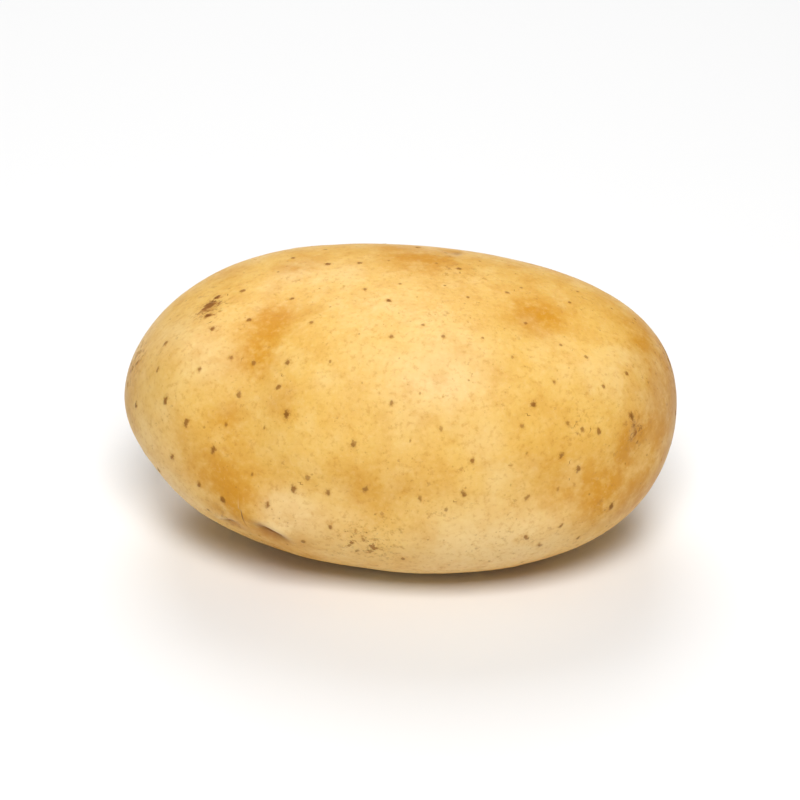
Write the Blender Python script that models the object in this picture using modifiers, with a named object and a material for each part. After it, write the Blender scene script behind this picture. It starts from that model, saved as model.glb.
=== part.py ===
"""A yellow-skinned potato: one solid tuber, lying on a small flat resting spot.

The tuber lies along X, with its narrower stem end at -X and its blunt rose end at +X, where
most of the eyes are. The origin is on the surface it rests on, under the middle of its box.
"""
import math

import bmesh
import bpy
from mathutils import Euler, Vector

# ---- driving dimensions, in metres and degrees -------------------------------------------
LENGTH = 0.100              # along X, tip to tip
WIDTH = 0.066               # along Y
HEIGHT = 0.0515             # along Z, resting spot to crown
FULLNESS = 2.25             # 2 is a plain ellipsoid; more fills out its shoulders
STEM_TAPER = 0.035          # how much thinner than the middle the stem end is
RESTING_DEPTH = 0.0026      # how much of the round underside is pressed flat
STEM_END_LIFT = 1.6         # the stem end rises off the surface by this angle
ROSE_END_TURN = 5.0         # and the rose end comes forward, towards -Y, by this one
CAGE_CUTS = 11              # cuts along each edge of the cube that the cage grows from
CAGE_SMOOTHING = 1          # levels of the Subdivision Surface on the cage

# ---- the lie of the surface --------------------------------------------------------------
# Each row: where it is as a direction from the middle, with X, Y and Z counted in half
# lengths, half widths and half heights; how far it spreads, in degrees; and its height in
# metres, below zero for a hollow.
SWELLS = (
    ("shoulder of the rose end", (0.80, 0.16, 0.58), 24, 0.0021),
    ("shoulder of the stem end", (-0.52, 0.45, 0.70), 20, 0.0009),
    ("nose of the stem end", (-1.00, -0.02, -0.02), 16, 0.0009),
    ("main lobe", (0.15, -0.60, 0.70), 25, 0.0020),
    ("stem lobe", (-0.66, -0.47, 0.58), 15, 0.0025),
    ("rose lobe", (0.75, -0.38, 0.54), 13, 0.0017),
    ("belly lobe", (0.16, -0.76, -0.58), 18, 0.0006),
    ("lip of the belly eye", (-0.40, -0.82, -0.36), 8, 0.0012),
    ("hollow of the belly eye", (-0.50, -0.68, -0.58), 6, -0.0016),
    ("hollow between the main and rose lobes", (0.47, -0.30, 0.80), 9, -0.0016),
    ("hollow in front of the stem lobe", (-0.68, -0.70, -0.05), 13, -0.0010),
    ("hollow above the belly", (-0.10, -0.95, -0.03), 11, -0.0013),
    ("hollow in front of the rose end", (0.54, -0.80, 0.03), 12, -0.0014),
    ("dent at the rose end", (0.85, -0.50, 0.12), 7, -0.0018),
    ("hollow under the stem end", (-0.88, -0.32, -0.46), 14, -0.0016),
    ("hollow under the rose end", (0.90, -0.22, -0.36), 18, -0.0005),
    ("back lobe", (0.30, 0.85, 0.20), 26, 0.0008),
    ("back hollow", (-0.35, 0.90, 0.10), 18, -0.0009),
    ("underside hollow", (-0.55, 0.40, -0.70), 18, -0.0007),
)
# The shallow furrow that parts the stem lobe from the main lobe, from the crown down to the
# front. Each row: a direction as above, and the furrow's depth there in metres.
FURROW = (
    ((-0.36, 0.05, 0.93), 0.0),
    ((-0.42, -0.32, 0.85), 0.0022),
    ((-0.48, -0.60, 0.62), 0.0033),
    ((-0.52, -0.78, 0.34), 0.0029),
    ((-0.44, -0.89, 0.06), 0.0018),
    ((-0.40, -0.88, -0.25), 0.0),
)
FURROW_HALF_WIDTH = 7.5     # degrees, seen from the middle

SKIN_COLOUR = (0.80, 0.56, 0.20, 1.0)
SKIN_ROUGHNESS = 0.5


def clear_scene():
    """Remove everything the file opened with."""
    for obj in list(bpy.data.objects):
        bpy.data.objects.remove(obj, do_unlink=True)


def make_collection(name):
    """A new collection in the scene."""
    collection = bpy.data.collections.new(name)
    bpy.context.scene.collection.children.link(collection)
    return collection


def skin_material():
    """Pale yellow potato skin: matt, with no metal in it."""
    material = bpy.data.materials.new("yellow_potato_skin")
    material.use_nodes = True
    shader = material.node_tree.nodes["Principled BSDF"]
    shader.inputs["Base Color"].default_value = SKIN_COLOUR
    shader.inputs["Roughness"].default_value = SKIN_ROUGHNESS
    shader.inputs["Metallic"].default_value = 0.0
    material.diffuse_color = SKIN_COLOUR
    return material


def bell(distance, spread):
    """1 at no distance, falling smoothly to almost nothing at twice the spread."""
    return math.exp(-(distance / spread) ** 2)


def degrees_between(first, second):
    """The angle between two directions, in degrees."""
    return math.degrees(first.angle(second))


def furrow_depth(direction):
    """How deep the furrow is in a direction: its depth at its nearest point, less off its line."""
    nearest = 180.0
    depth_there = 0.0
    for (start, start_depth), (end, end_depth) in zip(FURROW, FURROW[1:]):
        start = Vector(start)
        run = Vector(end) - start
        along = (direction - start).dot(run) / run.length_squared
        along = min(max(along, 0.0), 1.0)
        distance = degrees_between(direction, start + run * along)
        if distance < nearest:
            nearest = distance
            depth_there = start_depth + (end_depth - start_depth) * along
    return depth_there * bell(nearest, FURROW_HALF_WIDTH)


def relief(direction):
    """How far the surface stands out of the plain tuber in a direction, in metres."""
    height = 0.0
    for _name, middle, spread, rise in SWELLS:
        height += rise * bell(degrees_between(direction, Vector(middle)), spread)
    return height - furrow_depth(direction)


def tuber_point(direction):
    """The point of the tuber's surface in a direction from its middle, before it is laid down."""
    power_sum = sum(abs(part) ** FULLNESS for part in direction)
    ball = direction * power_sum ** (-1.0 / FULLNESS)
    girth = 1.0 + STEM_TAPER * min(ball.x, 0.0)
    half_girth = girth / 2.0
    point = Vector((ball.x * LENGTH / 2.0, ball.y * WIDTH * half_girth, ball.z * HEIGHT * half_girth))
    return point + point.normalized() * relief(direction)


def tuber_cage():
    """A cube cut into a grid, blown up into the tuber and laid on its flat resting spot."""
    cage = bmesh.new()
    bmesh.ops.create_cube(cage, size=2.0)
    bmesh.ops.subdivide_edges(cage, edges=cage.edges[:], cuts=CAGE_CUTS, use_grid_fill=True)
    lie = Euler((0.0, math.radians(STEM_END_LIFT), -math.radians(ROSE_END_TURN))).to_matrix()
    for vertex in cage.verts:
        # Tangents of the grid's angles spread the squares evenly over the ball.
        evened = Vector([math.tan(part * math.pi / 4.0) for part in vertex.co])
        vertex.co = lie @ tuber_point(evened.normalized())
    floor = min(vertex.co.z for vertex in cage.verts) + RESTING_DEPTH
    for vertex in cage.verts:
        vertex.co.z = max(vertex.co.z, floor)
    bmesh.ops.recalc_face_normals(cage, faces=cage.faces[:])
    return cage


def evaluated_box(obj):
    """The lowest and highest corners of an object with its modifiers on."""
    depsgraph = bpy.context.evaluated_depsgraph_get()
    mesh = obj.evaluated_get(depsgraph).to_mesh()
    corners = [[vertex.co[axis] for vertex in mesh.vertices] for axis in range(3)]
    return Vector([min(values) for values in corners]), Vector([max(values) for values in corners])


def fit_to_size(obj):
    """Scale the cage so that the smoothed tuber measures its driving dimensions exactly."""
    low, high = evaluated_box(obj)
    wanted = Vector((LENGTH, WIDTH, HEIGHT))
    middle_bottom = Vector(((low.x + high.x) / 2.0, (low.y + high.y) / 2.0, low.z))
    for vertex in obj.data.vertices:
        from_bottom = vertex.co - middle_bottom
        scaled = [from_bottom[axis] * wanted[axis] / (high[axis] - low[axis]) for axis in range(3)]
        vertex.co = Vector(scaled)


def build_potato():
    """The whole potato: its cage, its smoothing, its size and its skin's colour."""
    cage = tuber_cage()
    mesh = bpy.data.meshes.new("potato")
    cage.to_mesh(mesh)
    cage.free()
    potato = bpy.data.objects.new("potato", mesh)
    make_collection("potato").objects.link(potato)
    smoothing = potato.modifiers.new("smoothing", "SUBSURF")
    smoothing.levels = CAGE_SMOOTHING
    smoothing.render_levels = CAGE_SMOOTHING
    fit_to_size(potato)
    mesh.shade_smooth()
    mesh.materials.append(skin_material())
    return potato


clear_scene()
build_potato()
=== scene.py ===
"""A whole yellow potato: its skin, eyes and corky spots, made around the potato's solid.

Laid out as an add-on, and run as a script. Lengths are in metres unless a name says mm.
"""
import math

import bpy
import numpy as np
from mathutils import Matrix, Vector
from mathutils.bvhtree import BVHTree


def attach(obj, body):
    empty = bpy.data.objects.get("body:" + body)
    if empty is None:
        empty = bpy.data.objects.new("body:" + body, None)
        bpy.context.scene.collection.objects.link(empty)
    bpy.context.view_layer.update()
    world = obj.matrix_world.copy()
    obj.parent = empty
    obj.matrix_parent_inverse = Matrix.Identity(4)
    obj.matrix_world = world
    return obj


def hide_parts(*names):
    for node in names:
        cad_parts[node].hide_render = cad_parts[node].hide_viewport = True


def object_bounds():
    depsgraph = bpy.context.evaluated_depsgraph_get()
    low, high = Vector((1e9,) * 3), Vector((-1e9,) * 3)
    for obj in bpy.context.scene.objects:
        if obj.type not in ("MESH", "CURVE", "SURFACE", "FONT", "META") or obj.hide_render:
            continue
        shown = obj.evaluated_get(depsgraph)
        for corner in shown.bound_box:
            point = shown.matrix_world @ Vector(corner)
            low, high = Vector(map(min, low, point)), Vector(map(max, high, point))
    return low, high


bl_info = {
    "name": "Yellow Potato",
    "version": (1, 0, 0),
    "blender": (4, 5, 0),
    "location": "View3D > Sidebar > Potato",
    "description": "Makes a whole yellow potato with its eyes, corky spots and skin",
    "category": "Add Mesh",
}

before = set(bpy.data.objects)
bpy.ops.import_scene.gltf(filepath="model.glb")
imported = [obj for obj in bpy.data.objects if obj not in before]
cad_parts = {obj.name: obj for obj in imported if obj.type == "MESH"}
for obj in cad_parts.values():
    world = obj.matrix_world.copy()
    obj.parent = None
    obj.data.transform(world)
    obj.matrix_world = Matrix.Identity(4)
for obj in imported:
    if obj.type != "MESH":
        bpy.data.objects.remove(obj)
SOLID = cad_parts["potato"]
BOX_LOW, BOX_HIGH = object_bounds()
MIDDLE = (BOX_LOW + BOX_HIGH) / 2
LENGTH = BOX_HIGH.x - BOX_LOW.x
MM = 0.001

# The potato is marked out on plans: each is the tuber seen square on from one side, with its
# azimuth and elevation in degrees. Azimuth 0 looks along +Y and 90 along -X.
PLANS = {
    "front": (0, 30),
    "back": (180, 25),
    "crown": (0, 80),
    "rose end": (90, 10),
    "stem end": (-90, 10),
    "under": (0, -60),
}
# Eyes: the plan, millimetres across and up from the plan's middle, the turn of the brow in
# degrees, half the brow's width in mm, and how strong the eye is, from 0 to 1.
EYES = (
    ("front", -22.8, -23.8, -38, 4.8, 1.0),
    ("front", 41.5, -5.5, 100, 3.0, 0.15),
    ("front", -33.5, 16.5, 60, 2.4, 0.25),
    ("back", 26.0, 0.0, 95, 4.4, 0.8),
    ("back", -14.0, -6.0, 80, 4.2, 0.8),
    ("back", -34.0, -1.0, 75, 3.8, 0.7),
    ("crown", 10.0, 17.0, -85, 3.8, 0.35),
    ("rose end", 12.0, -6.0, 160, 3.4, 0.7),
    ("rose end", 15.0, 8.0, -150, 3.2, 0.6),
    ("rose end", 1.0, -14.0, 170, 3.4, 0.7),
    ("under", 24.0, -6.0, 100, 4.0, 0.7),
    ("under", -30.0, 12.0, 70, 3.8, 0.7),
)
# Corky spots listed one by one, all on the front plan: millimetres across and up, and the spot's width in
# mm.
FRONT_SPOTS = (
    (-33.8, 17.0, 2.4), (-34.0, 15.0, 1.6), (-32.6, 18.4, 1.4), (-34.8, 16.2, 1.2),
    (-28.0, 19.5, 1.1), (-33.0, 12.6, 1.1), (-41.5, 10.0, 1.2), (-47.0, 6.5, 0.9),
    (-47.0, -1.0, 1.0), (-29.5, 7.5, 0.9), (-25.5, 6.5, 1.0), (-19.5, 6.5, 1.2),
    (-28.0, 1.0, 1.0), (-19.5, -2.5, 1.3), (-37.5, -4.0, 1.1), (-15.5, 13.5, 0.9),
    (-2.0, 17.5, 1.1), (-1.5, 11.0, 0.9), (7.5, 11.0, 0.9), (-1.5, -0.5, 0.8),
    (-8.0, -7.5, 1.2), (7.0, -5.0, 0.7), (12.5, -10.5, 1.0), (21.0, -4.5, 0.9),
    (19.5, 7.5, 0.7), (32.5, 7.5, 0.8), (29.0, -4.0, 0.8), (31.5, -5.0, 0.8),
    (34.5, -5.5, 1.0), (40.5, -3.0, 1.3), (31.0, -12.0, 1.1), (27.5, -15.5, 0.7),
    (22.0, -17.0, 1.0), (-6.0, -15.5, 1.1), (-12.5, -16.0, 1.0), (-16.0, -13.5, 0.9),
    (-18.5, -15.5, 1.2), (3.5, -17.0, 0.9), (8.0, -19.0, 0.7), (-17.0, -25.0, 1.0),
    (-7.5, -26.5, 0.8), (0.5, -28.0, 0.8), (22.0, -24.0, 1.0), (31.5, -24.5, 0.9),
    (19.0, 19.0, 0.9), (10.5, 23.5, 1.0), (6.5, 24.5, 0.8), (-2.0, 25.0, 0.7),
    (0.0, 20.5, 0.8), (22.0, 13.5, 0.8), (21.5, 20.0, 0.8),
)
# Tints: the plan, millimetres across and up, the patch's radius in mm and its amount.
# Orange patches are partly the skin's own tint and partly painted shade: the orange down the front's furrow,
# in the belly eye's hollow, along the top edge and over the right end and its lower side is painted shade.
ORANGE_AND_PAINTED_SHADE_PATCHES = (
    ("front", -23.8, -26.8, 3.5, 0.9),
    ("front", -18.0, 24.0, 5, 0.8), ("front", -31.0, 23.0, 5, 0.4), ("front", -22.5, 14.0, 5.5, 1.0),
    ("front", -25.5, 7.0, 4.5, 1.0), ("front", -20.0, 0.0, 4.0, 0.6),
    ("front", -29.5, -3.0, 4, 0.5), ("front", -33.0, -12.0, 9, 0.58), ("front", -29.0, -18.0, 6, 0.5),
    ("front", -5.0, -16.0, 8, 0.55), ("front", 25.0, -11.0, 9, 0.33), ("front", 41.5, -6.5, 3.5, 1.0),
    ("front", 29.0, -18.0, 8, 0.42), ("front", 24.0, 15.0, 6, 1.0),
    ("front", 5.0, 25.0, 8, 0.7), ("front", 46.5, -3.0, 8, 1.0), ("front", 45.0, -13.0, 7, 0.9),
    ("front", 40.0, -16.0, 9, 1.0), ("front", 46.0, 8.0, 6, 0.8),
    ("back", 20.0, 5.0, 12, 0.6), ("back", -25.0, 8.0, 12, 0.7),
    ("back", -2.0, -14.0, 10, 0.6), ("back", 38.0, 0.0, 10, 0.7),
    ("crown", 0.0, 18.0, 10, 0.5), ("under", 18.0, 2.0, 12, 0.5),
    ("under", -20.0, 8.0, 12, 0.6), ("rose end", 0.0, 0.0, 14, 0.7),
    ("stem end", 0.0, -2.0, 9, 0.6),
)
# Cream on the front's three lobes and its middle is a painted highlight, and cream along its left and lower
# rims is painted light from the white floor and room; the rest is pale skin.
CREAM_AND_PAINTED_LIGHT_PATCHES = (
    ("front", 9.0, 7.0, 10, 0.70), ("front", -33.0, 7.5, 7, 0.60),
    ("front", 36.0, 5.0, 7, 0.40), ("front", -8.0, 9.0, 8, 0.30), ("front", 0.0, -5.0, 7, 0.30),
    ("front", -40.0, 12.0, 8, 0.5), ("front", -20.5, -19.5, 4.5, 1.0),
    ("front", -39.0, -16.5, 6, 0.6), ("front", 12.0, -26.0, 12, 0.8), ("front", -14.0, -22.0, 7, 0.6),
    ("front", 25.0, -25.0, 9, 0.6), ("front", -44.0, -8.0, 8, 0.5),
    ("under", 0.0, 0.0, 16, 0.6), ("back", 5.0, -22.0, 12, 0.6),
)
RUSSET_PATCHES = (
    ("front", -33.5, 16.5, 3.5, 1.0), ("front", -5.5, -25.0, 6, 0.7),
    ("front", 41.5, -5.5, 3.0, 0.8), ("front", -23.4, -26.4, 3.2, 1.0),
    ("front", 31.0, -4.5, 4, 0.45), ("front", 10.0, 23.5, 5, 0.4),
    ("back", 26.0, 0.0, 5, 0.7), ("back", -14.0, -6.0, 5, 0.7),
    ("back", -34.0, 1.0, 5, 0.7), ("rose end", 0.0, 0.0, 7, 0.6),
    ("stem end", 0.0, 0.0, 5, 0.8), ("under", 24.0, -6.0, 5, 0.6),
    ("under", -30.0, 12.0, 5, 0.6), ("crown", 12.0, 21.0, 4, 0.5),
)

# The eye's form: the bend and rise of its brow, how many buds it has, and its bells, each with
# what it is measured by, its middle and its width, in half widths of the brow. The forms are
# the bells that are multiplied for the crease, the brow, the hollow and the buds.
BROW_BEND = 0.26
BROW_RISE = 0.16
BUDS_PER_HALF_WIDTH = 1.5
EYE_BELLS = {
    "ends": ("along", 0.0, 0.56),
    "crease line": ("over the arc", 0.0, 0.22),
    "brow line": ("over the arc", 0.34, 0.26),
    "hollow line": ("toward", -0.16, 0.44),
    "bud line": ("toward", 0.02, 0.10),
    "bud row": ("along", 0.0, 0.4),
    "bud tops": ("across a bud", 0.0, 0.28),
}
EYE_FORMS = (
    ("crease line", "ends"),
    ("brow line", "ends"),
    ("hollow line", "ends"),
    ("bud line", "bud row", "bud tops"),
)
# How far the crease, brow, hollow and buds rise, as shares of the eye's depth.
EYE_RISES = (-0.48, 0.50, -0.66, 0.25)
EYE_WOBBLE = (0.16, 0.16, 0.0)
EYE_WOBBLE_MM = 2.0
# An eye's marks fade between these distances from its middle, in half widths of its brow.
EYE_FADE_START = 1.5
EYE_FADE_END = 2.2
# How far apart the skin's slow waves and its small dimples are, and how far the wrapped grid's
# radii are evened out, in steps from vertex to vertex.
WAVES_APART_MM = 14.0
DIMPLES_APART_MM = 3.0
EVENING_STEPS = 6
# Corners of the solid this close are one corner, and this many subdivisions make it smooth.
SAME_PLACE_MM = 0.01
SMOOTHING_LEVEL = 2
# Spots listed one by one: radius as a share of the width, the width that is darkest, least darkness.
SPOT_RADIUS_SHARE = 0.56
DARKEST_WIDTH_MM = 1.3
LEAST_DARKNESS = 0.7
# Spots scattered over the rest: how clear they stay of those, their least radius and how much
# the largest adds to it, the least darkness and how much the darkest adds to it.
SPOT_CLEARANCE_MM = 4.2
SMALLEST_SPOT_MM = 0.20
LARGEST_SPOT_ADDS_MM = 0.50
FAINTEST_SPOT = 0.25
DARKEST_SPOT_ADDS = 0.55
SPOTS_PER_SQUARE_METRE = 60000.0
# How far out a spot's marks are drawn, and where its dome is full and where it ends, in radii.
SPOT_REACH_MM = 2.4
DOME_FULL = 0.3
DOME_END = 1.4
# Noises of the skin: how far apart their marks are in mm, detail, roughness, and a shift in metres.
NOISES = {
    "clouds": (18.0, 3.0, 0.55, 0.00),
    "mottle": (4.2, 4.0, 0.62, 0.31),
    "blotch": (8.5, 3.0, 0.60, 0.17),
    "fine": (1.0, 3.0, 0.65, 0.27),
    "flake": (1.7, 4.0, 0.72, 0.13),
    "edge": (0.7, 2.0, 0.60, 0.07),
    "grain": (0.8, 3.0, 0.60, 0.21),
    "drift": (9.0, 3.0, 0.60, 0.40),
}
# Marks in drifts: the quick noise, the slow one under it and the slow one's share.
DRIFTS = {
    "flakes in drifts": ("flake", "drift", 0.35),
    "flakes in russet": ("flake", "russet", 0.20),
}
# Specks: the cell's size in mm, the least and most radius in cells, and the share that have one.
SPECKS = {
    "pore": (0.70, -0.15, 0.16, 0.60),
    "freckle": (1.9, -0.15, 0.045, 0.24),
}
STREAK_TURN = (0.0, 0.25, 0.3)
STREAK_SCALE = (90.0, 600.0, 600.0)
# Masks: the field, where it starts and is full, and what the mask is worth there.
MASKS = {
    "orange clouds": ("clouds", 0.46, 0.72, 0.0, 1.0),
    "pale clouds": ("clouds", 0.50, 0.28, 0.0, 1.0),
    "orange and painted shade patches": ("orange", 0.0, 1.0, 0.0, 1.0),
    "cream and painted light patches": ("cream", 0.0, 1.0, 0.0, 1.0),
    "mottling": ("mottle", 0.25, 0.62, 0.55, 1.15),
    "dark mottling": ("mottle", 0.48, 0.68, 0.0, 1.0),
    "pale mottling": ("mottle", 0.50, 0.32, 0.0, 1.0),
    "dark blotches": ("blotch", 0.52, 0.68, 0.0, 1.0),
    "pale blotches": ("blotch", 0.46, 0.30, 0.0, 1.0),
    "fine grain": ("fine", 0.50, 0.72, 0.0, 1.0),
    "pale grain": ("fine", 0.48, 0.28, 0.0, 1.0),
    "streaks": ("streaks", 0.50, 0.70, 0.0, 1.0),
    "drifts": ("drift", 0.42, 0.62, 0.20, 1.0),
    "pores": ("pore", 0.0, 0.18, 0.0, 1.0),
    "freckles": ("freckle", 0.0, 0.10, 0.0, 1.0),
    "loose scurf": ("flakes in drifts", 0.80, 0.90, 0.0, 1.0),
    "scurf": ("flakes in russet", 0.64, 0.76, 0.0, 1.0),
    "russet patches": ("russet", 0.02, 0.7, 0.0, 1.0),
}
# Tints laid one over another: the mask, a mask it is broken by, its share and its colour.
LAYERS = (
    ("orange clouds", "mottling", 0.30, "orange"),
    # Orange patches: the skin's own tint, and painted shade in the furrow, the eye's hollow, along the top
    # edge and round the right end.
    ("orange and painted shade patches", "mottling", 0.92, "orange"),
    ("pale clouds", "", 0.34, "cream"),
    # Cream patches: pale skin, plus painted highlights on the lobes and painted floor light on the rims.
    ("cream and painted light patches", "", 0.75, "cream"),
    ("dark blotches", "", 0.20, "D9A249"),
    ("pale blotches", "", 0.24, "F3D591"),
    ("dark mottling", "", 0.26, "CC8F30"),
    ("pale mottling", "", 0.12, "F6DA98"),
    ("fine grain", "", 0.36, "C1822F"),
    ("pale grain", "", 0.10, "F9E3AE"),
    ("streaks", "", 0.06, "CE9040"),
    ("pores", "drifts", 0.50, "AC7022"),
    ("freckles", "drifts", 0.55, "9A5F22"),
    ("loose scurf", "", 0.40, "AD7430"),
    ("russet patches", "fine grain", 0.55, "A8702C"),
    ("scurf", "russet patches", 0.80, "94602A"),
    # The eye's hollow, darkened: painted shade.
    ("hollow", "", 0.85, "B5762A"),
    ("brow", "", 0.60, "F2DAA4"),
    # The eye's crease: dark cork with painted shade in the fold.
    ("crease", "", 0.95, "683C12"),
    ("buds", "", 0.60, "8D5B29"),
    ("halo", "", 0.45, "B97A26"),
    ("core", "", 0.96, "cork"),
)
# Spots are stretched about up the tuber: the dice less this is the way, and this is how much.
SPOT_LEAN = (0.35, 0.5, -0.45)
SPOT_STRETCH = 0.42
SPOT_RAGGEDNESS = 1.6
SPECK_RAGGEDNESS = 0.3
# The stored mark of a spot's reach is blended in between these, so that its edge doesn't show.
NEAR_START = 0.5
NEAR_FULL = 0.98
# The rings of a spot: the radii, in spot radii, where each starts and is full.
SPOT_RINGS = {"core": (1.75, 1.15), "halo": (2.3, 1.3)}
SKIN_OPTICS = {
    "IOR": 1.42,
    "Specular IOR Level": 0.24,
    "Subsurface Weight": 0.15,
    "Subsurface Radius": (1.0, 0.55, 0.18),
    "Subsurface Scale": 0.0015,
}
SATIN_ROUGHNESS = 0.34
MOTTLE_ADDS_ROUGHNESS = 0.14
CORK_ADDS_ROUGHNESS = 0.30
# Softboxes: the name, where it is from the potato's middle, its width, and its share of the key.
SOFTBOXES = (
    ("key_softbox", (0.03, -0.66, 1.00), 0.50, 1.0),
    ("back_softbox", (-0.10, 0.90, 1.00), 0.80, 0.65),
)
FLOOR_HALF_WIDTH = 2.0
# Bumps: the field, its strength, its height in mm, and whether it sinks.
BUMPS = (
    ("mottle", 0.20, 0.50, False),
    ("grain", 0.14, 0.30, False),
    ("pores", 0.30, 0.08, True),
    ("cork", 0.50, 0.12, False),
    ("crease", 0.60, 0.30, True),
)


def linear(sheet_hex):
    """An sRGB hex colour as linear red, green, blue and alpha."""
    parts = [int(sheet_hex[place:place + 2], 16) / 255 for place in (0, 2, 4)]
    curve = [part / 12.92 if part <= 0.04045 else ((part + 0.055) / 1.055) ** 2.4 for part in parts]
    return (*curve, 1.0)


def add_node(tree, kind, inputs=(), output=0, **settings):
    """Add one node with its settings, fill its inputs with values or links, return one output."""
    node = tree.nodes.new(kind)
    for name, value in settings.items():
        setattr(node, name, value)
    for key, value in inputs.items() if isinstance(inputs, dict) else enumerate(inputs):
        if isinstance(value, bpy.types.NodeSocket):
            tree.links.new(value, node.inputs[key])
        else:
            node.inputs[key].default_value = value
    return node.outputs[output]


# ---- settings ---------------------------------------------------------------------------------


class PotatoSkinSettings(bpy.types.PropertyGroup):
    """Sizes and colours of the potato's skin."""

    grid: bpy.props.IntProperty(
        name="Grid", description="Vertices along each edge of the cube the skin grows from",
        default=129, min=9, max=129)
    waviness: bpy.props.FloatProperty(
        name="Waviness", description="Height of the skin's slow waves",
        default=0.00036, unit="LENGTH", precision=5)
    ripple: bpy.props.FloatProperty(
        name="Ripple", description="Height of the skin's small dimples",
        default=0.00008, unit="LENGTH", precision=5)
    eye_depth: bpy.props.FloatProperty(
        name="Eye depth", description="Depth of the strongest eye",
        default=0.0011, unit="LENGTH", precision=5)
    spot_spacing: bpy.props.FloatProperty(
        name="Spot spacing", description="Least distance between two corky spots",
        default=0.0052, unit="LENGTH", precision=4)
    spot_height: bpy.props.FloatProperty(
        name="Spot height", description="How far a corky spot stands out of the skin",
        default=0.00006, unit="LENGTH", precision=5)
    seed: bpy.props.IntProperty(
        name="Seed", description="Which potato of its kind: the lie of the scattered spots",
        default=7)
    yellow: bpy.props.FloatVectorProperty(
        name="Yellow", description="The skin's main colour", subtype="COLOR", size=4,
        default=linear("E6B95F"), min=0, max=1)
    # Orange is the skin's own tint in its clouds and patches, and painted shade where it lies in the furrow,
    # the eyes' hollows and round the right end.
    orange: bpy.props.FloatVectorProperty(
        name="Orange", description="The skin in its hollows and furrows", subtype="COLOR", size=4,
        default=linear("CD8E1C"), min=0, max=1)
    # Cream is pale skin, and also a painted highlight on the front's lobes and painted light from the floor
    # along its rims.
    cream: bpy.props.FloatVectorProperty(
        name="Cream", description="The palest skin", subtype="COLOR", size=4,
        default=linear("EFD197"), min=0, max=1)
    cork: bpy.props.FloatVectorProperty(
        name="Cork", description="Corky spots and scars", subtype="COLOR", size=4,
        default=linear("774408"), min=0, max=1)


class PotatoStageSettings(bpy.types.PropertyGroup):
    """The floor, the lights and the camera."""

    elevation: bpy.props.FloatProperty(
        name="Elevation", description="How high the camera looks from",
        default=math.radians(30), subtype="ANGLE")
    distance: bpy.props.FloatProperty(
        name="Distance", description="From the camera to the potato's middle",
        default=0.62, unit="LENGTH")
    framing: bpy.props.FloatProperty(
        name="Framing", description="The potato's length as a share of the picture's width",
        default=0.69, min=0.1, max=1.0)
    key: bpy.props.FloatProperty(
        name="Key light", description="Power of the soft light above the front", default=13.2)
    fill: bpy.props.FloatProperty(
        name="Fill light", description="Strength of the light from all round", default=0.20)


# ---- placing marks on the tuber ---------------------------------------------------------------


def plan_directions(plan):
    """The plan's right, its up, and the way from the tuber to the eye that looks at it."""
    azimuth, elevation = (math.radians(angle) for angle in PLANS[plan])
    right = Vector((math.cos(azimuth), math.sin(azimuth), 0.0))
    out = Vector((math.sin(azimuth) * math.cos(elevation), -math.cos(azimuth) * math.cos(elevation),
                  math.sin(elevation)))
    return right, out.cross(right), out


def on_skin(surface, plan, across_mm, up_mm):
    """Where a mark on a plan meets the tuber, and the tuber's normal there."""
    right, up, out = plan_directions(plan)
    start = MIDDLE + right * across_mm * MM + up * up_mm * MM + out * LENGTH
    place, normal, _index, _distance = surface.ray_cast(start, -out)
    if place is None:
        place, normal, _index, _distance = surface.find_nearest(start - out * LENGTH)
    return place, normal


def add_values(mesh, name, kind, values):
    """Store one value for each vertex of a mesh."""
    attribute = mesh.attributes.new(name, kind, "POINT")
    attribute.data.foreach_set("vector" if kind == "FLOAT_VECTOR" else "value", np.ravel(values))


def guide_points(name, places):
    """An object of loose points, which carries places and their sizes into the skin's nodes."""
    mesh = bpy.data.meshes.new(name)
    mesh.from_pydata(places, [], [])
    guide = bpy.data.objects.new(name, mesh)
    bpy.context.scene.collection.objects.link(guide)
    return guide


def make_eye_guides(surface):
    """One point for each eye, with the way its brow runs and its size."""
    rows = []
    for plan, across_mm, up_mm, turn, half_width_mm, strength in EYES:
        place, normal = on_skin(surface, plan, across_mm, up_mm)
        right, up, _out = plan_directions(plan)
        angle = math.radians(turn)
        along = right * math.cos(angle) + up * math.sin(angle)
        along = (along - normal * along.dot(normal)).normalized()
        rows.append((place, along, normal.cross(along), half_width_mm * MM, strength))
    places, alongs, towards, half_widths, strengths = zip(*rows)
    guide = guide_points("eye_guides", places)
    add_values(guide.data, "along", "FLOAT_VECTOR", alongs)
    add_values(guide.data, "toward", "FLOAT_VECTOR", towards)
    add_values(guide.data, "half_width", "FLOAT", half_widths)
    add_values(guide.data, "strength", "FLOAT", strengths)
    return guide


def make_spot_guides(surface, seed):
    """One point for each listed corky spot, with its radius and darkness."""
    places = [on_skin(surface, "front", across, up)[0] for across, up, _width in FRONT_SPOTS]
    guide = guide_points("spot_guides", places)
    radii = [width * MM * SPOT_RADIUS_SHARE for _across, _up, width in FRONT_SPOTS]
    add_values(guide.data, "radius", "FLOAT", radii)
    widths = np.array([width for _across, _up, width in FRONT_SPOTS])
    chances = np.random.default_rng(seed).uniform(LEAST_DARKNESS, 1.0, len(places))
    darkness = np.minimum(widths / DARKEST_WIDTH_MM, 1.0) * chances
    add_values(guide.data, "darkness", "FLOAT", darkness)
    return guide


def patch_amounts(surface, patches, points):
    """How much of a tint each point has: soft round patches, added up."""
    amounts = np.zeros(len(points))
    for plan, across_mm, up_mm, radius_mm, amount in patches:
        place, _normal = on_skin(surface, plan, across_mm, up_mm)
        distance = np.linalg.norm(points - np.array(place), axis=1)
        amounts += amount * np.exp(-(distance / (radius_mm * MM)) ** 2)
    return np.clip(amounts, 0.0, 1.0)


# ---- the eye's form, shared by the geometry and the material ------------------------------------


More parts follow.
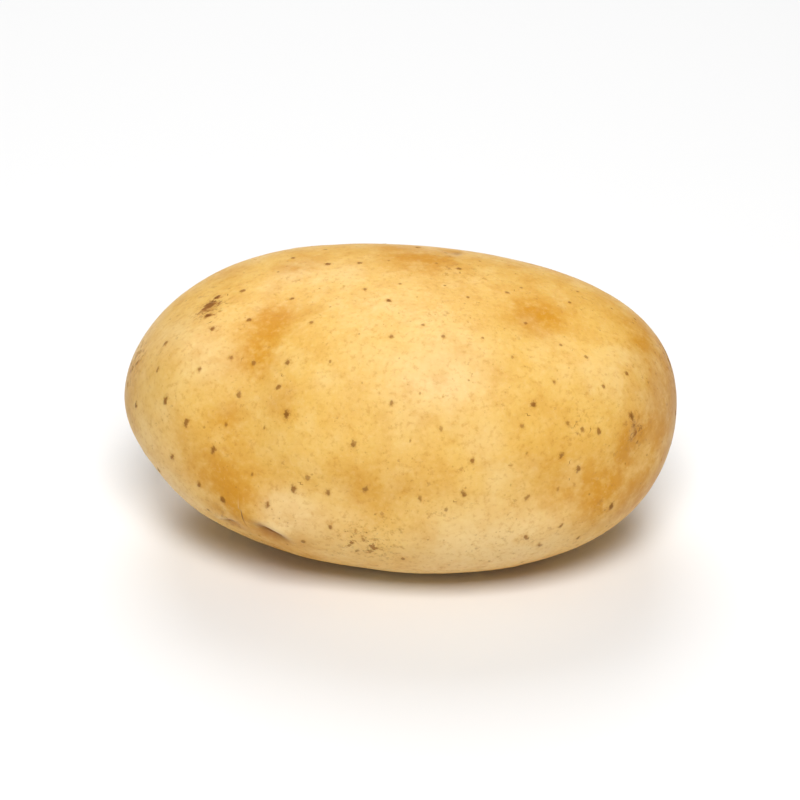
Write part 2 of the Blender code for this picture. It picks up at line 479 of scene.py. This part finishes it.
def eye_form(tree, place):
    """The crease, the brow over it, the hollow and the buds of an eye, each from 0 to 1.

    place is where a point lies in the eye: X along the brow and Y towards it, both counted in
    half widths of the brow.
    """
    split = add_node(tree, "ShaderNodeSeparateXYZ", (place,)).node
    along, toward = split.outputs[0], split.outputs[1]
    along_square = add_node(tree, "ShaderNodeMath", (along, along), operation="MULTIPLY")
    # The brow is an arc: highest over the middle, and bent round the buds at both ends.
    arc = add_node(tree, "ShaderNodeMath", (along_square, -BROW_BEND, BROW_RISE), operation="MULTIPLY_ADD")
    over_arc = add_node(tree, "ShaderNodeMath", (toward, arc), operation="SUBTRACT")
    bud_row = add_node(tree, "ShaderNodeMath", (along, BUDS_PER_HALF_WIDTH), operation="MULTIPLY")
    bud_wave = add_node(tree, "ShaderNodeMath", (bud_row, 0.5), operation="PINGPONG")
    measures = {"along": along, "toward": toward, "over the arc": over_arc, "across a bud": bud_wave}
    # Each part of the eye is a bell, exp(-((measure - middle) / width) squared).
    bells = {}
    for name, (measure, middle, width) in EYE_BELLS.items():
        offset = add_node(tree, "ShaderNodeMath", (measures[measure], middle), operation="SUBTRACT")
        scaled = add_node(tree, "ShaderNodeMath", (offset, width), operation="DIVIDE")
        square = add_node(tree, "ShaderNodeMath", (scaled, scaled), operation="MULTIPLY")
        power = add_node(tree, "ShaderNodeMath", (square, -1.0), operation="MULTIPLY")
        bells[name] = add_node(tree, "ShaderNodeMath", (math.e, power), operation="POWER")
    forms = []
    for names in EYE_FORMS:
        form = bells[names[0]]
        for name in names[1:]:
            form = add_node(tree, "ShaderNodeMath", (form, bells[name]), operation="MULTIPLY")
        forms.append(form)
    return forms


# ---- the skin's nodes -------------------------------------------------------------------------


def skin_tree():
    """Geometry nodes that wrap an even grid on the solid, then raise its waves, eyes and spots."""
    tree = bpy.data.node_groups.new("potato_skin", "GeometryNodeTree")
    tree.interface.new_socket("Skin", in_out="OUTPUT", socket_type="NodeSocketGeometry")
    for name, kind in (
        ("Solid", "Geometry"), ("Grid", "Int"), ("Middle", "Vector"), ("Waviness", "Float"),
        ("Ripple", "Float"), ("Eye Guides", "Object"), ("Eye Depth", "Float"),
        ("Spot Guides", "Object"), ("Spot Spacing", "Float"), ("Spot Height", "Float"),
        ("Seed", "Int"), ("Material", "Material"),
    ):
        tree.interface.new_socket(name, in_out="INPUT", socket_type="NodeSocket" + kind)
    given = tree.nodes.new("NodeGroupInput").outputs

    # The solid, smoothed, is what the grid is wrapped on.
    merged = add_node(tree, "GeometryNodeMergeByDistance", {
        "Geometry": given["Solid"], "Distance": SAME_PLACE_MM * MM})
    target = add_node(tree, "GeometryNodeSubdivisionSurface", {"Mesh": merged, "Level": SMOOTHING_LEVEL})
    grid = given["Grid"]
    cube = add_node(tree, "GeometryNodeMeshCube", {
        "Size": (2.0, 2.0, 2.0), "Vertices X": grid, "Vertices Y": grid, "Vertices Z": grid})
    position = add_node(tree, "GeometryNodeInputPosition")
    angles = add_node(tree, "ShaderNodeVectorMath", {0: position, "Scale": math.pi / 4}, operation="SCALE")
    evened = add_node(tree, "ShaderNodeVectorMath", (angles,), operation="TANGENT")
    way = add_node(tree, "ShaderNodeVectorMath", (evened,), operation="NORMALIZE")
    reach = add_node(tree, "ShaderNodeVectorMath", {0: way, "Scale": LENGTH}, operation="SCALE")
    far = add_node(tree, "ShaderNodeVectorMath", (reach, given["Middle"]), operation="ADD")
    ball = add_node(tree, "GeometryNodeSetPosition", {"Geometry": cube, "Position": far})
    inward = add_node(tree, "ShaderNodeVectorMath", (given["Middle"], position), operation="SUBTRACT")
    hit = add_node(tree, "GeometryNodeRaycast", {
        "Target Geometry": target, "Source Position": position, "Ray Direction": inward,
        "Ray Length": LENGTH}, "Hit Position")
    hit_radius = add_node(tree, "ShaderNodeVectorMath", (hit, given["Middle"]), "Value",
                          operation="DISTANCE")
    even_radius = add_node(tree, "GeometryNodeBlurAttribute", {
        "Value": hit_radius, "Iterations": EVENING_STEPS})
    inward_way = add_node(tree, "ShaderNodeVectorMath", (inward,), operation="NORMALIZE")
    outward_radius = add_node(tree, "ShaderNodeMath", (even_radius, -1.0), operation="MULTIPLY")
    outward = add_node(tree, "ShaderNodeVectorMath", {0: inward_way, "Scale": outward_radius},
                       operation="SCALE")
    wrapped_place = add_node(tree, "ShaderNodeVectorMath", (outward, given["Middle"]), operation="ADD")
    wrapped = add_node(tree, "GeometryNodeSetPosition", {"Geometry": ball, "Position": wrapped_place})

    # Slow waves and small dimples.
    normal = add_node(tree, "GeometryNodeInputNormal")
    waves = add_node(tree, "ShaderNodeTexNoise", {
        "Vector": position, "Scale": 1.0 / (WAVES_APART_MM * MM), "Detail": 1.0}, 0)
    dimples = add_node(tree, "ShaderNodeTexNoise", {
        "Vector": position, "Scale": 1.0 / (DIMPLES_APART_MM * MM), "Detail": 1.0}, 0)
    wave = add_node(tree, "ShaderNodeMath", (waves, 0.5), operation="SUBTRACT")
    dimple = add_node(tree, "ShaderNodeMath", (dimples, 0.5), operation="SUBTRACT")
    wave_height = add_node(tree, "ShaderNodeMath", (wave, given["Waviness"]), operation="MULTIPLY")
    height = add_node(tree, "ShaderNodeMath", (dimple, given["Ripple"], wave_height),
                      operation="MULTIPLY_ADD")

    # The nearest eye, and where each point of the skin lies in it.
    eyes = add_node(tree, "GeometryNodeObjectInfo", {"Object": given["Eye Guides"]}, "Geometry")
    eye_index = add_node(tree, "GeometryNodeSampleNearest", {"Geometry": eyes, "Sample Position": position},
                         domain="POINT")
    eye_fields = {"middle": (position, "FLOAT_VECTOR")}
    for name, data_type in (("along", "FLOAT_VECTOR"), ("toward", "FLOAT_VECTOR"),
                            ("half_width", "FLOAT"), ("strength", "FLOAT")):
        field = add_node(tree, "GeometryNodeInputNamedAttribute", {"Name": name}, data_type=data_type)
        eye_fields[name] = (field, data_type)
    eye_data = {}
    for name, (field, data_type) in eye_fields.items():
        eye_data[name] = add_node(tree, "GeometryNodeSampleIndex", {
            "Geometry": eyes, "Value": field, "Index": eye_index}, data_type=data_type, domain="POINT")
    from_eye = add_node(tree, "ShaderNodeVectorMath", (position, eye_data["middle"]), operation="SUBTRACT")
    parts = []
    for name in ("along", "toward"):
        run = add_node(tree, "ShaderNodeVectorMath", (from_eye, eye_data[name]), "Value",
                       operation="DOT_PRODUCT")
        parts.append(add_node(tree, "ShaderNodeMath", (run, eye_data["half_width"]), operation="DIVIDE"))
    eye_distance = add_node(tree, "ShaderNodeVectorMath", (from_eye,), "Value", operation="LENGTH")
    widths_away = add_node(tree, "ShaderNodeMath", (eye_distance, eye_data["half_width"]),
                           operation="DIVIDE")
    near = add_node(tree, "ShaderNodeMapRange", {
        "Value": widths_away, 1: EYE_FADE_START, 2: EYE_FADE_END, 3: 1.0, 4: 0.0})
    eye_strength = add_node(tree, "ShaderNodeMath", (near, eye_data["strength"]), operation="MULTIPLY")
    eye_place = add_node(tree, "ShaderNodeCombineXYZ", (parts[0], parts[1], eye_strength))
    sink = 0.0
    for form, rise in zip(eye_form(tree, eye_place), EYE_RISES):
        sink = add_node(tree, "ShaderNodeMath", (form, rise, sink), operation="MULTIPLY_ADD")
    sink = add_node(tree, "ShaderNodeMath", (sink, eye_strength), operation="MULTIPLY")
    height = add_node(tree, "ShaderNodeMath", (sink, given["Eye Depth"], height),
                      operation="MULTIPLY_ADD")
    raised = add_node(tree, "ShaderNodeVectorMath", {0: normal, "Scale": height}, operation="SCALE")
    placed = add_node(tree, "GeometryNodeStoreNamedAttribute", {
        "Geometry": wrapped, "Name": "eye_place", "Value": eye_place}, data_type="FLOAT_VECTOR")
    skin = add_node(tree, "GeometryNodeSetPosition", {"Geometry": placed, "Offset": raised})

    # Corky spots: the listed ones are dropped on the skin, and the rest are scattered clear of them.
    hand_spots = add_node(tree, "GeometryNodeObjectInfo", {"Object": given["Spot Guides"]}, "Geometry")
    dropped_place = add_node(tree, "GeometryNodeSampleNearestSurface", {
        "Mesh": skin, "Value": position, "Sample Position": position}, data_type="FLOAT_VECTOR")
    hand_spots = add_node(tree, "GeometryNodeSetPosition", {
        "Geometry": hand_spots, "Position": dropped_place})
    scattered = add_node(tree, "GeometryNodeDistributePointsOnFaces", {
        "Mesh": skin, "Distance Min": given["Spot Spacing"], "Density Max": SPOTS_PER_SQUARE_METRE,
        "Seed": given["Seed"]}, "Points", distribute_method="POISSON")
    nearest_hand = add_node(tree, "GeometryNodeSampleNearest", {
        "Geometry": hand_spots, "Sample Position": position}, domain="POINT")
    hand_place = add_node(tree, "GeometryNodeSampleIndex", {
        "Geometry": hand_spots, "Value": position, "Index": nearest_hand},
        data_type="FLOAT_VECTOR", domain="POINT")
    hand_distance = add_node(tree, "ShaderNodeVectorMath", (position, hand_place), "Value",
                             operation="DISTANCE")
    crowded = add_node(tree, "ShaderNodeMath", (hand_distance, SPOT_CLEARANCE_MM * MM),
                       operation="LESS_THAN")
    scattered = add_node(tree, "GeometryNodeDeleteGeometry", {
        "Geometry": scattered, "Selection": crowded}, domain="POINT")
    scattered = add_node(tree, "GeometryNodePointsToVertices", {"Points": scattered})
    chance = add_node(tree, "FunctionNodeRandomValue", {"Seed": given["Seed"]}, 1, data_type="FLOAT")
    chance_square = add_node(tree, "ShaderNodeMath", (chance, chance), operation="MULTIPLY")
    # The square of the chance makes most of the spots small.
    radius = add_node(tree, "ShaderNodeMath", (
        chance_square, LARGEST_SPOT_ADDS_MM * MM, SMALLEST_SPOT_MM * MM), operation="MULTIPLY_ADD")
    darkness = add_node(tree, "ShaderNodeMath", (chance, DARKEST_SPOT_ADDS, FAINTEST_SPOT),
                        operation="MULTIPLY_ADD")
    scattered = add_node(tree, "GeometryNodeStoreNamedAttribute", {
        "Geometry": scattered, "Name": "radius", "Value": radius}, data_type="FLOAT")
    scattered = add_node(tree, "GeometryNodeStoreNamedAttribute", {
        "Geometry": scattered, "Name": "darkness", "Value": darkness}, data_type="FLOAT")
    spots = add_node(tree, "GeometryNodeJoinGeometry", {"Geometry": hand_spots})
    tree.links.new(scattered, spots.node.inputs["Geometry"])
    spot_index = add_node(tree, "GeometryNodeSampleNearest", {
        "Geometry": spots, "Sample Position": position}, domain="POINT")
    spot_middle = add_node(tree, "GeometryNodeSampleIndex", {
        "Geometry": spots, "Value": position, "Index": spot_index}, data_type="FLOAT_VECTOR", domain="POINT")
    spot_data = []
    for name in ("radius", "darkness"):
        field = add_node(tree, "GeometryNodeInputNamedAttribute", {"Name": name}, data_type="FLOAT")
        spot_data.append(add_node(tree, "GeometryNodeSampleIndex", {
            "Geometry": spots, "Value": field, "Index": spot_index}, data_type="FLOAT", domain="POINT"))
    spot_distance = add_node(tree, "ShaderNodeVectorMath", (position, spot_middle), "Value",
                             operation="DISTANCE")
    spot_near = add_node(tree, "ShaderNodeMath", (spot_distance, SPOT_REACH_MM * MM), operation="LESS_THAN")
    spot_size = add_node(tree, "ShaderNodeCombineXYZ", (spot_data[0], spot_data[1], spot_near))
    skin = add_node(tree, "GeometryNodeStoreNamedAttribute", {
        "Geometry": skin, "Name": "spot_middle", "Value": spot_middle}, data_type="FLOAT_VECTOR")
    skin = add_node(tree, "GeometryNodeStoreNamedAttribute", {
        "Geometry": skin, "Name": "spot_size", "Value": spot_size}, data_type="FLOAT_VECTOR")
    radii_away = add_node(tree, "ShaderNodeMath", (spot_distance, spot_data[0]), operation="DIVIDE")
    dome = add_node(tree, "ShaderNodeMapRange", {
        "Value": radii_away, 1: DOME_FULL, 2: DOME_END, 3: 1.0, 4: 0.0},
                    interpolation_type="SMOOTHSTEP")
    dome_height = add_node(tree, "ShaderNodeMath", (dome, given["Spot Height"]), operation="MULTIPLY")
    dome_raise = add_node(tree, "ShaderNodeVectorMath", {0: normal, "Scale": dome_height},
                          operation="SCALE")
    skin = add_node(tree, "GeometryNodeSetPosition", {"Geometry": skin, "Offset": dome_raise})

    skin = add_node(tree, "GeometryNodeSetShadeSmooth", {"Geometry": skin})
    skin = add_node(tree, "GeometryNodeRealizeInstances", {"Geometry": skin})
    skin = add_node(tree, "GeometryNodeSetMaterial", {"Geometry": skin, "Material": given["Material"]})
    tree.links.new(skin, tree.nodes.new("NodeGroupOutput").inputs["Skin"])
    return tree


def wrap_skin(settings, surface, material):
    """Run the skin's nodes on a copy of the solid, and return the result as a plain mesh."""
    eye_guides = make_eye_guides(surface)
    spot_guides = make_spot_guides(surface, settings.seed)
    holder = bpy.data.objects.new("skin_holder", SOLID.data.copy())
    bpy.context.scene.collection.objects.link(holder)
    modifier = holder.modifiers.new("skin", "NODES")
    modifier.node_group = skin_tree()
    values = {
        "Grid": settings.grid, "Middle": tuple(MIDDLE), "Waviness": settings.waviness,
        "Ripple": settings.ripple, "Eye Guides": eye_guides, "Eye Depth": settings.eye_depth,
        "Spot Guides": spot_guides, "Spot Spacing": settings.spot_spacing,
        "Spot Height": settings.spot_height, "Seed": settings.seed, "Material": material,
    }
    for item in modifier.node_group.interface.items_tree:
        if item.name in values:
            modifier[item.identifier] = values[item.name]
    depsgraph = bpy.context.evaluated_depsgraph_get()
    mesh = bpy.data.meshes.new_from_object(holder.evaluated_get(depsgraph))
    mesh.name = "potato_skin"
    for helper in (holder, eye_guides, spot_guides):
        bpy.data.objects.remove(helper, do_unlink=True)
    return mesh


def seat_in_box(points):
    """Fit the points to the solid's box, so that the skin adds nothing to the potato's size."""
    low, high = points.min(axis=0), points.max(axis=0)
    box_low, box_high = np.array(BOX_LOW), np.array(BOX_HIGH)
    return box_low + (points - low) * (box_high - box_low) / (high - low)


# ---- the skin's material ----------------------------------------------------------------------


def potato_skin_material(settings):
    """Washed potato periderm: a thin, dry, corky film over moist pale yellow flesh.

    The film is satin and a little see-through, so light spreads in the flesh and the shadows
    stay warm. Its cream is pale skin, and on the front's lobes and rims it is also a painted
    highlight and painted light from the floor. Its orange is the skin's own tint, and in the
    furrow, the eyes' hollows and creases and round the right end it is also painted shade.
    """
    material = bpy.data.materials.new("washed_yellow_potato_periderm")
    material.use_nodes = True
    tree = material.node_tree
    shader = tree.nodes["Principled BSDF"]
    place = add_node(tree, "ShaderNodeTexCoord", (), "Object")

    # What the tints are made from: noises, the patches stored on the skin, and the pores.
    fields = {}
    for name, (size_mm, detail, roughness, shift) in NOISES.items():
        moved = add_node(tree, "ShaderNodeVectorMath", (place, (shift, 0.0, -shift)), operation="ADD")
        fields[name] = add_node(tree, "ShaderNodeTexNoise", {
            "Vector": moved, "Scale": 1.0 / (size_mm * MM), "Detail": detail, "Roughness": roughness}, 0)
    for name in ("orange", "cream", "russet"):
        fields[name] = add_node(tree, "ShaderNodeAttribute", (), "Fac", attribute_name=name)
    stretched = add_node(tree, "ShaderNodeMapping", {
        "Vector": place, "Rotation": STREAK_TURN, "Scale": STREAK_SCALE})
    fields["streaks"] = add_node(tree, "ShaderNodeTexNoise", {
        "Vector": stretched, "Scale": 1.0, "Detail": 3.0, "Roughness": 0.6}, 0)
    # Broken noises: a slow noise lifts and sinks a quick one, so that its marks lie in drifts.
    for name, (quick, slow, share) in DRIFTS.items():
        fields[name] = add_node(tree, "ShaderNodeMath", (fields[slow], share, fields[quick]),
                                operation="MULTIPLY_ADD")
    for name, (size_mm, least_radius, most_radius, chance) in SPECKS.items():
        cells = add_node(tree, "ShaderNodeTexVoronoi", {"Vector": place, "Scale": 1.0 / (size_mm * MM)})
        dice = add_node(tree, "ShaderNodeSeparateColor", (cells.node.outputs["Color"],), 0)
        radius = add_node(tree, "ShaderNodeMapRange", {
            "Value": dice, 1: 1.0 - chance, 2: 1.0, 3: least_radius, 4: most_radius})
        edge = add_node(tree, "ShaderNodeMath", (
            fields["fine"], -SPECK_RAGGEDNESS, cells.node.outputs["Distance"]), operation="MULTIPLY_ADD")
        fields[name] = add_node(tree, "ShaderNodeMath", (radius, edge), operation="SUBTRACT")

    masks = {}
    for name, (field, low, high, at_low, at_high) in MASKS.items():
        masks[name] = add_node(tree, "ShaderNodeMapRange", {
            "Value": fields[field], 1: low, 2: high, 3: at_low, 4: at_high},
            interpolation_type="SMOOTHSTEP")

    # Eyes: the crease is dark cork darkened further with painted shade, the hollow is darkened with painted
    # shade, and the brow over it is pale.
    eye_place = add_node(tree, "ShaderNodeAttribute", (), "Vector", attribute_name="eye_place")
    eye_strength = add_node(tree, "ShaderNodeSeparateXYZ", (eye_place,), 2)
    drift = add_node(tree, "ShaderNodeTexNoise", {
        "Vector": place, "Scale": 1.0 / (EYE_WOBBLE_MM * MM), "Detail": 2.0}, 1)
    drift = add_node(tree, "ShaderNodeVectorMath", (drift, (0.5, 0.5, 0.5)), operation="SUBTRACT")
    wobble = add_node(tree, "ShaderNodeVectorMath", (drift, EYE_WOBBLE, eye_place),
                      operation="MULTIPLY_ADD")
    for name, form in zip(("crease", "brow", "hollow", "buds"), eye_form(tree, wobble)):
        masks[name] = add_node(tree, "ShaderNodeMath", (form, eye_strength), operation="MULTIPLY")

    # Corky spots: a dark middle in a soft halo, with a ragged edge, each stretched its own way.
    spot_middle = add_node(tree, "ShaderNodeAttribute", (), "Vector", attribute_name="spot_middle")
    spot_size = add_node(tree, "ShaderNodeAttribute", (), "Vector", attribute_name="spot_size")
    size = add_node(tree, "ShaderNodeSeparateXYZ", (spot_size,)).node.outputs
    from_spot = add_node(tree, "ShaderNodeVectorMath", (place, spot_middle), operation="SUBTRACT")
    spot_dice = add_node(tree, "ShaderNodeTexWhiteNoise", (spot_size,), 1, noise_dimensions="3D")
    spot_way = add_node(tree, "ShaderNodeVectorMath", (spot_dice, SPOT_LEAN), operation="SUBTRACT")
    spot_way = add_node(tree, "ShaderNodeVectorMath", (spot_way,), operation="NORMALIZE")
    along_spot = add_node(tree, "ShaderNodeVectorMath", (from_spot, spot_way), "Value",
                          operation="DOT_PRODUCT")
    shortened = add_node(tree, "ShaderNodeMath", (along_spot, -SPOT_STRETCH), operation="MULTIPLY")
    squeeze = add_node(tree, "ShaderNodeVectorMath", {0: spot_way, "Scale": shortened}, operation="SCALE")
    squeezed = add_node(tree, "ShaderNodeVectorMath", (from_spot, squeeze), operation="ADD")
    spot_distance = add_node(tree, "ShaderNodeVectorMath", (squeezed,), "Value", operation="LENGTH")
    radii_away = add_node(tree, "ShaderNodeMath", (spot_distance, size[0]), operation="DIVIDE")
    ragged = add_node(tree, "ShaderNodeMath", (fields["edge"], SPOT_RAGGEDNESS, radii_away),
                      operation="MULTIPLY_ADD")
    is_near = add_node(tree, "ShaderNodeMapRange", {
        "Value": size[2], 1: NEAR_START, 2: NEAR_FULL})
    is_dark = add_node(tree, "ShaderNodeMath", (is_near, size[1]), operation="MULTIPLY")
    for name, (outer, inner) in SPOT_RINGS.items():
        ring = add_node(tree, "ShaderNodeMapRange", {"Value": ragged, 1: outer, 2: inner},
                        interpolation_type="SMOOTHSTEP")
        masks[name] = add_node(tree, "ShaderNodeMath", (ring, is_dark), operation="MULTIPLY")

    # Lay each tint over what is already there.
    colour = add_node(tree, "ShaderNodeRGB")
    colour.default_value = settings.yellow
    tints = {"orange": tuple(settings.orange), "cream": tuple(settings.cream),
             "cork": tuple(settings.cork)}
    for mask, broken_by, share, tint in LAYERS:
        amount = add_node(tree, "ShaderNodeMath", (masks[mask], share), operation="MULTIPLY",
                          use_clamp=True)
        if broken_by:
            amount = add_node(tree, "ShaderNodeMath", (amount, masks[broken_by]), operation="MULTIPLY",
                              use_clamp=True)
        over = tints[tint] if tint in tints else linear(tint)
        colour = add_node(tree, "ShaderNodeMix", {0: amount, 6: colour, 7: over}, 2, data_type="RGBA")
    tree.links.new(colour, shader.inputs["Base Color"])

    # Satin, drier and rougher on cork and scurf.
    cork_amount = add_node(tree, "ShaderNodeMath", (masks["core"], masks["scurf"]), operation="MAXIMUM")
    satin = add_node(tree, "ShaderNodeMath", (fields["mottle"], MOTTLE_ADDS_ROUGHNESS, SATIN_ROUGHNESS),
                     operation="MULTIPLY_ADD")
    rough = add_node(tree, "ShaderNodeMath", (cork_amount, CORK_ADDS_ROUGHNESS, satin),
                     operation="MULTIPLY_ADD")
    tree.links.new(rough, shader.inputs["Roughness"])
    for name, value in SKIN_OPTICS.items():
        shader.inputs[name].default_value = value

    # Bump: cork stands up, pores and creases sink, and the film has a leathery grain of 0.8 mm.
    heights = {"grain": fields["grain"], "pores": masks["pores"], "cork": cork_amount,
               "crease": masks["crease"], "mottle": fields["mottle"]}
    bent = None
    for name, strength, distance_mm, sinks in BUMPS:
        values = {"Height": heights[name], "Strength": strength, "Distance": distance_mm * MM}
        if bent:
            values["Normal"] = bent
        bent = add_node(tree, "ShaderNodeBump", values, "Normal", invert=sinks)
    tree.links.new(bent, shader.inputs["Normal"])
    return material


# ---- operators --------------------------------------------------------------------------------


class POTATO_OT_skin(bpy.types.Operator):
    """Make the potato's skin around its solid, with its eyes and corky spots"""

    bl_idname = "potato.skin"
    bl_label = "Potato Skin"

    def execute(self, context):
        settings = context.scene.potato_skin
        corners = [vertex.co.copy() for vertex in SOLID.data.vertices]
        faces = [tuple(face.vertices) for face in SOLID.data.polygons]
        surface = BVHTree.FromPolygons(corners, faces)
        mesh = wrap_skin(settings, surface, potato_skin_material(settings))
        points = np.empty(len(mesh.vertices) * 3)
        mesh.vertices.foreach_get("co", points)
        points = points.reshape(-1, 3)
        if len(points) == 0:
            raise RuntimeError("the skin's nodes made no skin")
        # The orange amounts carry painted shade besides the skin's tint, and the cream amounts carry painted
        # highlights and painted floor light besides pale skin.
        for name, patches in (("orange", ORANGE_AND_PAINTED_SHADE_PATCHES), ("cream", CREAM_AND_PAINTED_LIGHT_PATCHES),
                              ("russet", RUSSET_PATCHES)):
            add_values(mesh, name, "FLOAT", patch_amounts(surface, patches, points))
        mesh.vertices.foreach_set("co", seat_in_box(points).ravel())
        mesh.update()
        skin = bpy.data.objects.new("potato_skin", mesh)
        context.scene.collection.objects.link(skin)
        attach(skin, "root")
        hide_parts("potato")
        return {"FINISHED"}


def add_softbox(name, place, width, power):
    """A square area light, turned to the potato's middle."""
    light = bpy.data.lights.new(name, "AREA")
    light.shape = "SQUARE"
    light.size = width
    light.energy = power
    lamp = bpy.data.objects.new(name, light)
    lamp.location = place
    lamp.rotation_euler = (MIDDLE - lamp.location).to_track_quat("-Z", "Y").to_euler()
    bpy.context.scene.collection.objects.link(lamp)
    return lamp


class POTATO_OT_stage(bpy.types.Operator):
    """Make the pale floor, the soft lights and the camera"""

    bl_idname = "potato.stage"
    bl_label = "Potato Stage"

    def execute(self, context):
        scene = context.scene
        settings = scene.potato_stage
        # Floor: matt white laminate, just under the resting spot.
        laminate = bpy.data.materials.new("matt_white_laminate")
        laminate.use_nodes = True
        board = laminate.node_tree.nodes["Principled BSDF"]
        board.inputs["Base Color"].default_value = linear("EEEEEE")
        board.inputs["Roughness"].default_value = 0.6
        half = FLOOR_HALF_WIDTH
        mesh = bpy.data.meshes.new("floor")
        corners = [(-half, -half, 0), (half, -half, 0), (half, half, 0), (-half, half, 0)]
        mesh.from_pydata(corners, [], [(0, 1, 2, 3)])
        mesh.materials.append(laminate)
        floor = bpy.data.objects.new("floor", mesh)
        scene.collection.objects.link(floor)

        world = bpy.data.worlds.new("studio")
        world.use_nodes = True
        sky = world.node_tree.nodes["Background"]
        sky.inputs["Color"].default_value = (1.0, 1.0, 1.0, 1.0)
        sky.inputs["Strength"].default_value = settings.fill
        scene.world = world
        for name, offset, width, share in SOFTBOXES:
            add_softbox(name, MIDDLE + Vector(offset), width, settings.key * share)

        lens = bpy.data.cameras.new("camera")
        camera = bpy.data.objects.new("camera", lens)
        back = Vector((0.0, -math.cos(settings.elevation), math.sin(settings.elevation)))
        camera.location = MIDDLE + back * settings.distance
        camera.rotation_euler = (-back).to_track_quat("-Z", "Y").to_euler()
        lens.lens = lens.sensor_width * settings.distance * settings.framing / LENGTH
        lens.clip_start = 0.01
        scene.collection.objects.link(camera)
        scene.camera = camera
        scene.view_settings.view_transform = "Standard"
        return {"FINISHED"}


class POTATO_PT_panel(bpy.types.Panel):
    """The potato's settings and its two steps"""

    bl_idname = "POTATO_PT_panel"
    bl_label = "Potato"
    bl_space_type = "VIEW_3D"
    bl_region_type = "UI"
    bl_category = "Potato"

    def draw(self, context):
        for operator, group in (("potato.skin", context.scene.potato_skin),
                                ("potato.stage", context.scene.potato_stage)):
            box = self.layout.box()
            for name in group.__annotations__:
                box.prop(group, name)
            box.operator(operator)


CLASSES = (PotatoSkinSettings, PotatoStageSettings, POTATO_OT_skin, POTATO_OT_stage, POTATO_PT_panel)


def register():
    """Add the settings, operators and panel."""
    for cls in CLASSES:
        bpy.utils.register_class(cls)
    bpy.types.Scene.potato_skin = bpy.props.PointerProperty(type=PotatoSkinSettings)
    bpy.types.Scene.potato_stage = bpy.props.PointerProperty(type=PotatoStageSettings)


def unregister():
    """Take the settings, operators and panel away."""
    del bpy.types.Scene.potato_stage
    del bpy.types.Scene.potato_skin
    for cls in reversed(CLASSES):
        bpy.utils.unregister_class(cls)


def main():
    """Make the potato and its stage."""
    register()
    bpy.ops.potato.skin()
    bpy.ops.potato.stage()


if __name__ == "__main__":
    main()
